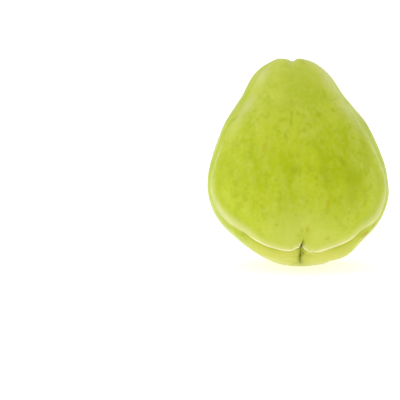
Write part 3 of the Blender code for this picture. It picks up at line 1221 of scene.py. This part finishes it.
@dataclass(frozen=True)
class WaxySkin:
    """Fresh chayote skin, as grown and washed.

    A thin smooth cuticle of plant wax lies over yellow-green tissue. The eye sees a soft satin
    sheen that turns pale towards the edges, clouds and mottles of deeper green under it, and
    pinprick pores.
    """

    clouds: Clouding = Clouding("#b6c21c", 24 * MM, 1.6, 0.42, 0.60, 1.0)
    bands: Clouding = Clouding("#bdc640", 8.0 * MM, 3.2, 0.46, 0.66, 0.55)
    mottles: Clouding = Clouding("#a6b500", 4.6 * MM, 1.2, 0.50, 0.66, 0.80)
    net: Clouding = Clouding("#c6cd5c", 2.2 * MM, 1.2, 0.42, 0.74, 0.30)
    flecks: Spotting = Spotting("#9fae00", 6.5 * MM, 0.9 * MM, 0.50, 0.75)
    # Real pores are 0.2 to 0.3 mm wide. They are drawn 0.6 mm wide so that they still show.
    pores: Spotting = Spotting("#cdd57a", 2.2 * MM, 0.28 * MM, 0.30, 0.30)
    stains: tuple[Stain, ...] = (
        # Painted light on the crown.
        Stain(Mark.CROWN, PALE_PAINTED_LIGHT, 0.40),
        # Partly painted shade: the pit's darker ring.
        Stain(Mark.PIT_SHADE, FLECK_TISSUE, 0.60),
        # Painted light from below on the blossom end and the rear lobe's cheek.
        Stain(Mark.BLOSSOM_END_LIGHT, PALE_PAINTED_LIGHT, 0.70),
        Stain(Mark.CHEEK_LIGHT, "#d6d16c", 0.60),
        # Painted shade in the furrows and hollows.
        Stain(Mark.VALLEY_SHADE, DEEP_TISSUE, 0.60),
        # Partly the ribs' paler skin, partly painted highlight.
        Stain(Mark.RIDGE_PALE_AND_HIGHLIGHT, PALE_PAINTED_LIGHT, 0.25),
        # Painted highlight along the front lobe's edge.
        Stain(Mark.STRETCH, "#dcd6aa", 0.45),
        # Painted shade under the lip and beside the fold.
        Stain(Mark.UNDERCUT_SHADE, "#aab408", 0.70),
        # Painted highlight above the lip.
        Stain(Mark.GLOW, "#d6d58c", 0.70),
        Stain(Mark.FLECK, FLECK_TISSUE, 0.95),
        Stain(Mark.RUB, "#adab00"),
        Stain(Mark.RUSSET, "#aa9636"),
        # Partly the lip's paler skin, partly painted highlight.
        Stain(Mark.LIP_PALE_AND_HIGHLIGHT, "#ebe3b8", 0.95),
        # Painted shade in the crease and the fold.
        Stain(Mark.CREASE, "#747c00"),
    )
    least_roughness: float = 0.29
    most_roughness: float = 0.45
    smears: Fade = Fade(0.3, 0.7)  # the swells' heights that these two go with
    russet_roughness: float = 0.25  # more
    # Wet plant tissue is near 1.36 and its wax near 1.44. The wax is too thin to add a second sheen.
    ior: float = 1.37
    gloss: float = 0.35
    sheen: float = 0.10
    sheen_roughness: float = 0.35
    see_through: float = 0.08  # the share of the light that comes back out of the tissue
    see_through_colours: tuple[float, float, float] = (1.0, 0.9, 0.25)
    see_through_depth: float = 2.5 * MM
    detail: float = 3.0  # how many times the smears and the peel are halved for finer ones
    peel_size: float = 1.3 * MM
    peel_depth: float = 0.08 * MM
    peel_strength: float = 0.35
    pore_depth: float = 0.06 * MM
    pore_strength: float = 0.5

    def colouring(self, tree: Tree, place: Socket) -> Socket:
        """Lays the patterns and the stains over the ground colour.

        Args:
            tree: The material's node tree.
            place: Where each point lies.

        Returns:
            The skin's colour.
        """
        patterns = [self.clouds, self.bands, self.mottles, self.flecks, self.net]
        layers = [(pattern.layer(tree, place), pattern.colour) for pattern in patterns]
        layers += [(stain.layer(tree), stain.colour) for stain in self.stains]
        layers.append((self.pores.layer(tree, place), self.pores.colour))
        return lay_over(tree, DEEP_TISSUE, layers)

    def dulling(self, tree: Tree, place: Socket) -> Socket:
        """Makes the wax uneven, and duller on the russet.

        Args:
            tree: The material's node tree.
            place: Where each point lies.

        Returns:
            The skin's roughness.
        """
        inputs = {"Vector": place, "Scale": 1 / self.mottles.swell, "Detail": self.detail}
        height = add_node(tree, "ShaderNodeTexNoise", {}, inputs)["Fac"]
        inputs = {"Value": height, "From Min": self.smears.start, "From Max": self.smears.end}
        inputs |= {"To Min": self.least_roughness, "To Max": self.most_roughness}
        uneven = add_node(tree, "ShaderNodeMapRange", {}, inputs)["Result"]
        russet = add_node(tree, "ShaderNodeAttribute", {"attribute_name": Mark.RUSSET.value})
        inputs = {0: russet["Fac"], 1: self.russet_roughness, 2: uneven}
        return add_node(tree, "ShaderNodeMath", {"operation": "MULTIPLY_ADD"}, inputs)[0]

    def unevenness(self, tree: Tree, place: Socket) -> Socket:
        """Raises the finest orange peel and sinks the pores.

        Args:
            tree: The material's node tree.
            place: Where each point lies.

        Returns:
            The way that the skin faces.
        """
        inputs = {"Vector": place, "Scale": 1 / self.peel_size, "Detail": self.detail}
        height = add_node(tree, "ShaderNodeTexNoise", {}, inputs)["Fac"]
        inputs = {"Strength": self.peel_strength, "Distance": self.peel_depth, "Height": height}
        peel = add_node(tree, "ShaderNodeBump", {}, inputs)["Normal"]
        pores = self.pores.layer(tree, place)
        inputs = {"Strength": self.pore_strength, "Distance": self.pore_depth, "Height": pores}
        inputs["Normal"] = peel
        return add_node(tree, "ShaderNodeBump", {"invert": True}, inputs)["Normal"]

    def material(self) -> Material:
        """Makes the material.

        Returns:
            The skin's material.
        """
        material = blank_material("waxy_skin")
        tree = material.node_tree
        place = add_node(tree, "ShaderNodeTexCoord")["Object"]
        inputs = {
            "Base Color": self.colouring(tree, place),
            "Roughness": self.dulling(tree, place),
            "Normal": self.unevenness(tree, place),
            "IOR": self.ior,
            "Specular IOR Level": self.gloss,
            "Sheen Weight": self.sheen,
            "Sheen Roughness": self.sheen_roughness,
            "Subsurface Weight": self.see_through,
            "Subsurface Radius": self.see_through_colours,
            "Subsurface Scale": self.see_through_depth,
        }
        shader = add_node(tree, "ShaderNodeBsdfPrincipled", {}, inputs)["BSDF"]
        add_node(tree, "ShaderNodeOutputMaterial", {}, {"Surface": shader})
        return material


@dataclass(frozen=True)
class CorkScar:
    """Wound cork, grown over the cut stalk and dried.

    It is made of dead, air-filled cells, so it is dull and dusty: buff on its high places, brown
    in its cracks and nearly black in the dried strands.
    """

    buff: str = "#d2bd8a"
    tan: str = "#a98a50"
    brown: str = "#7a5526"
    dark: str = "#3f2c14"
    fibre_size: float = 0.5 * MM
    patch_size: float = 2.2 * MM
    detail: float = 4.0
    # Where each darker colour starts to show over the buff, and where it covers it.
    fibres_show: Fade = Fade(0.42, 0.72)
    patches_show: Fade = Fade(0.50, 0.75)
    rim_shows: Fade = Fade(0.10, 1.10)
    hollows_show: Fade = Fade(0.47, 0.38)
    roughness: float = 0.88
    ior: float = 1.5
    fibre_depth: float = 0.15 * MM
    fibre_strength: float = 0.7

    def material(self) -> Material:
        """Makes the material.

        Returns:
            The scar's material.
        """
        material = blank_material("wound_cork")
        tree = material.node_tree
        place = add_node(tree, "ShaderNodeTexCoord")["Object"]
        swells = []
        for size in (self.fibre_size, self.patch_size):
            inputs = {"Vector": place, "Scale": 1 / size, "Detail": self.detail}
            swells.append(add_node(tree, "ShaderNodeTexNoise", {}, inputs)["Fac"])
        fibres, patches = swells
        rim = add_node(tree, "ShaderNodeAttribute", {"attribute_name": SCAR_RIM})["Fac"]
        hollow = add_node(tree, "ShaderNodeNewGeometry")["Pointiness"]
        layers = []
        for source, shows, colour in (
            (fibres, self.fibres_show, self.tan),
            (patches, self.patches_show, self.tan),
            (rim, self.rim_shows, self.brown),
            (hollow, self.hollows_show, self.dark),
        ):
            inputs = {"Value": source, "From Min": shows.start, "From Max": shows.end}
            share = add_node(tree, "ShaderNodeMapRange", SMOOTH, inputs)["Result"]
            layers.append((share, colour))

        inputs = {"Strength": self.fibre_strength, "Distance": self.fibre_depth, "Height": fibres}
        fibrous = add_node(tree, "ShaderNodeBump", {}, inputs)["Normal"]
        inputs = {"Normal": fibrous, "Roughness": self.roughness, "IOR": self.ior}
        inputs["Base Color"] = lay_over(tree, self.buff, layers)
        shader = add_node(tree, "ShaderNodeBsdfPrincipled", {}, inputs)["BSDF"]
        add_node(tree, "ShaderNodeOutputMaterial", {}, {"Surface": shader})
        return material


@dataclass(frozen=True)
class BackgroundPaper:
    """A seamless sheet of white background paper, matt and faintly fibrous."""

    white: str = "#dededc"
    roughness: float = 0.9
    gloss: float = 0.2
    glow: float = 0.86  # it lies on a lit table, so that it throws hardly any shadow

    def material(self) -> Material:
        """Makes the material.

        Returns:
            The paper's material.
        """
        material = blank_material("background_paper")
        colour = linear_colour(self.white)
        inputs = {"Base Color": colour, "Roughness": self.roughness, "Specular IOR Level": self.gloss}
        inputs |= {"Emission Color": colour, "Emission Strength": self.glow}
        tree = material.node_tree
        shader = add_node(tree, "ShaderNodeBsdfPrincipled", {}, inputs)["BSDF"]
        add_node(tree, "ShaderNodeOutputMaterial", {}, {"Surface": shader})
        return material


@dataclass(frozen=True)
class SoftBox:
    """One large soft light that faces the fruit."""

    name: str
    azimuth: float  # degrees round from the front face, anticlockwise from above
    elevation: float
    distance: float
    size: float
    power: float


@dataclass
class Studio:
    """The white table, the soft lights and the camera."""

    table_size: float = 6.0
    tent_white: str = "#ffffff"
    tent_light: float = 1.2
    opening_light: float = 0.38
    opening_azimuth: float = 20.0
    opening_elevation: float = 25.0
    opening_edge: Fade = Fade(0.30, 0.80)  # of how nearly a direction points at an opening
    horizon: Fade = Fade(0.05, 0.20)  # how high it points where the dimming comes in
    lights: tuple[SoftBox, ...] = (
        SoftBox("top_light", 0.0, 70.0, 0.9, 0.9, 1.2),
        SoftBox("left_light", -60.0, 35.0, 0.9, 0.7, 0.9),
        SoftBox("right_light", 70.0, 30.0, 0.9, 0.7, 0.2),
    )
    lens: float = 185.0  # mm on a 36 mm wide sensor
    sensor: float = 36.0
    elevation: float = 9.0
    field_width: float = 212.6 * MM  # what the picture is wide at the fruit
    left_of_fruit: float = 52.1 * MM  # the picture's middle, from the fruit's middle
    below_fruit: float = 19.7 * MM

    def lay_table(self, finish: Material) -> bpy.types.Object:
        """Lays the paper that the fruit stands on.

        Args:
            finish: The paper's material.

        Returns:
            The table top.
        """
        half = self.table_size / 2
        corners = [(-half, -half, 0.0), (half, -half, 0.0), (half, half, 0.0), (-half, half, 0.0)]
        data = bpy.data.meshes.new("table")
        data.from_pydata(corners, [], [(0, 1, 2, 3)])
        data.materials.append(finish)
        table = bpy.data.objects.new("table", data)
        bpy.context.scene.collection.objects.link(table)
        return table

    def light(self, middle: Vector) -> None:
        """Hangs the soft lights and whitens the surround.

        Args:
            middle: The fruit's middle, which the lights face.
        """
        for box in self.lights:
            data = bpy.data.lights.new(box.name, "AREA")
            data.shape = "DISK"
            data.size = box.size
            data.energy = box.power
            lamp = bpy.data.objects.new(box.name, data)
            away = direction_from(box.azimuth, box.elevation)
            lamp.location = middle + away * box.distance
            lamp.rotation_euler = away.to_track_quat("Z", "Y").to_euler()
            bpy.context.scene.collection.objects.link(lamp)
        bpy.context.scene.world = self.surround()

    def surround(self) -> bpy.types.World:
        """Makes the white tent round the table, dim above the horizon where it is open front and back.

        Returns:
            The world that stands for the tent.
        """
        world = bpy.data.worlds.new("white_tent")
        world.use_nodes = True
        tree = world.node_tree
        direction = add_node(tree, "ShaderNodeTexCoord")["Generated"]
        height = add_node(tree, "ShaderNodeSeparateXYZ", {}, {0: direction})["Z"]
        inputs = {0: direction, 1: direction_from(self.opening_azimuth, self.opening_elevation)}
        towards = add_node(tree, "ShaderNodeVectorMath", {"operation": "DOT_PRODUCT"}, inputs)
        inputs = {0: towards["Value"]}
        facing = add_node(tree, "ShaderNodeMath", {"operation": "ABSOLUTE"}, inputs)[0]
        shares = []
        for value, fade in ((facing, self.opening_edge), (height, self.horizon)):
            inputs = {"Value": value, "From Min": fade.start, "From Max": fade.end}
            shares.append(add_node(tree, "ShaderNodeMapRange", SMOOTH, inputs)["Result"])
        dimmed = add_node(tree, "ShaderNodeMath", MULTIPLY, dict(enumerate(shares)))[0]
        inputs = {"Value": dimmed, "To Min": self.tent_light, "To Max": self.opening_light}
        strength = add_node(tree, "ShaderNodeMapRange", {}, inputs)["Result"]
        background = tree.nodes["Background"]
        background.inputs["Color"].default_value = linear_colour(self.tent_white)
        tree.links.new(strength, background.inputs["Strength"])
        return world

    def stand_camera(self, middle: Vector) -> bpy.types.Object:
        """Sets up the camera, a little above the fruit and square to its front face.

        Args:
            middle: The fruit's middle.

        Returns:
            The camera.
        """
        away = direction_from(0.0, self.elevation)
        right = Vector((1.0, 0.0, 0.0))
        up = right.cross(-away)
        aim = middle - right * self.left_of_fruit - up * self.below_fruit
        data = bpy.data.cameras.new("camera")
        data.lens = self.lens
        data.sensor_width = self.sensor
        camera = bpy.data.objects.new("camera", data)
        camera.location = aim + away * (self.field_width * self.lens / self.sensor)
        camera.rotation_euler = away.to_track_quat("Z", "Y").to_euler()
        bpy.context.scene.collection.objects.link(camera)
        bpy.context.scene.camera = camera
        bpy.context.scene.view_settings.view_transform = "Standard"
        return camera


def direction_from(azimuth: float, elevation: float) -> Vector:
    """Points from the fruit towards a place round it.

    Args:
        azimuth: Degrees round from straight in front.
        elevation: Degrees above the horizon.

    Returns:
        A unit vector.
    """
    turn, rise = math.radians(azimuth), math.radians(elevation)
    return Vector(
        (math.sin(turn) * math.cos(rise), -math.cos(turn) * math.cos(rise), math.sin(rise))
    )


def main() -> None:
    """Builds the fruit and its studio, and reports each piece."""
    logging.basicConfig(level=logging.INFO, format="%(name)s: %(message)s")
    low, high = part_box(FRUIT)
    middle = (low + high) / 2

    skin, seat = FruitSkin().build(WaxySkin().material())
    LOG.info("%s: %d faces", skin.name, len(skin.data.polygons))
    scar = StemScar().build(seat, CorkScar().material())
    LOG.info("%s: %d faces", scar.name, len(scar.data.polygons))

    studio = Studio()
    table = studio.lay_table(BackgroundPaper().material())
    LOG.info("%s laid", table.name)
    studio.light(middle)
    camera = studio.stand_camera(middle)
    LOG.info("%s stands %.2f m away", camera.name, (camera.location - middle).length)


if __name__ == "__main__":
    main()
